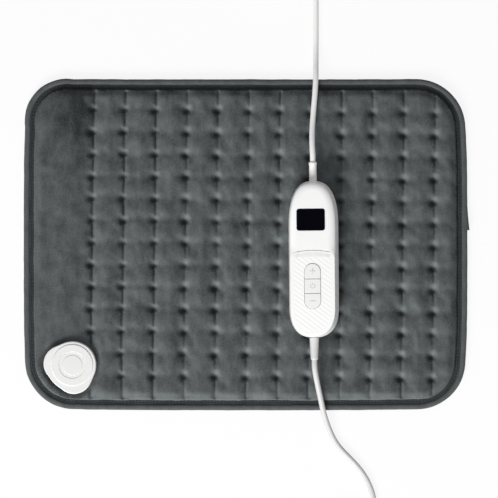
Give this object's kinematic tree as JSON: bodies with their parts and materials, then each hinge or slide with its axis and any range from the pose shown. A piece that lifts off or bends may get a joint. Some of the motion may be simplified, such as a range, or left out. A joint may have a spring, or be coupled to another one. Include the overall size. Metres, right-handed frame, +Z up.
{
  "type": "heating pad",
  "caption": "Quilted rectangular heating pad with bound edge, corner socket and a corded hand controller with display and sprung keys, on a mains lead.",
  "frame": {"origin": "centre of the pad's underside, on the surface it lies on", "axes": "+X along the pad's length, +Y across the pad towards the mains lead, +Z up out of the quilted face"},
  "size_m": [0.4017, 0.6498, 0.0386],
  "materials": {
    "plush": "short-pile plush",
    "tape": "folded binding tape",
    "felt": "felt",
    "wire_sleeve": "smooth",
    "white_plastic": "satin",
    "white_rubber": "smooth",
    "black_window": "gloss",
    "board": "solder mask",
    "dark_plastic": "moulded",
    "steel": "plated",
    "contact_brass": "stamped"
  },
  "bodies": {
    "pad": {"back_cover": "plush", "heater_carrier": "felt", "front_cover": "plush", "edge_binding": "tape", "binding_lap": "tape", "heating_wire": "wire_sleeve", "cold_lead_a": "white_rubber", "cold_lead_b": "white_rubber", "thermal_cutout": "dark_plastic", "socket_top": "white_plastic", "socket_base": "white_plastic", "socket_contact_a": "contact_brass", "socket_contact_b": "contact_brass", "front_shell": "white_plastic", "rear_shell": "white_plastic", "display_window": "black_window", "display_module": "dark_plastic", "circuit_board": "board", "casing_screw_1": "steel", "casing_screw_2": "steel", "casing_screw_3": "steel", "casing_screw_4": "steel", "relay": "dark_plastic", "filter_capacitor": "wire_sleeve", "mains_terminal": "white_plastic", "pad_terminal": "white_plastic", "fuse": "white_rubber", "plus_switch": "dark_plastic", "power_switch": "dark_plastic", "minus_switch": "dark_plastic", "mains_relief": "white_rubber", "pad_relief": "white_rubber", "mains_lead": "white_rubber", "mains_coil": "white_rubber", "mains_tail": "white_rubber", "mains_tie": "dark_plastic", "mains_plug_relief": "white_rubber", "mains_plug": "white_plastic", "mains_pin_a": "steel", "mains_pin_b": "steel", "pad_lead": "white_rubber", "pad_coil": "white_rubber", "pad_tail": "white_rubber", "pad_tie": "dark_plastic", "pad_plug_relief": "white_rubber", "pad_plug": "white_plastic"},
    "plus_button": {"plus_key": "white_plastic", "plus_plunger": "contact_brass"},
    "power_button": {"power_key": "white_plastic", "power_plunger": "contact_brass"},
    "minus_button": {"minus_key": "white_plastic", "minus_plunger": "contact_brass"}
  },
  "joints": [
    {"name": "plus_press", "type": "slide", "parent": "pad", "child": "plus_button", "axis": [0.1045, 0.0009, -0.9945], "range_m": [0, 0.0008], "stiffness_N_per_m": 400},
    {"name": "power_press", "type": "slide", "parent": "pad", "child": "power_button", "axis": [0.1045, 0.0009, -0.9945], "range_m": [0, 0.0008], "stiffness_N_per_m": 400},
    {"name": "minus_press", "type": "slide", "parent": "pad", "child": "minus_button", "axis": [0.1045, 0.0009, -0.9945], "range_m": [0, 0.0008], "stiffness_N_per_m": 400}
  ]
}
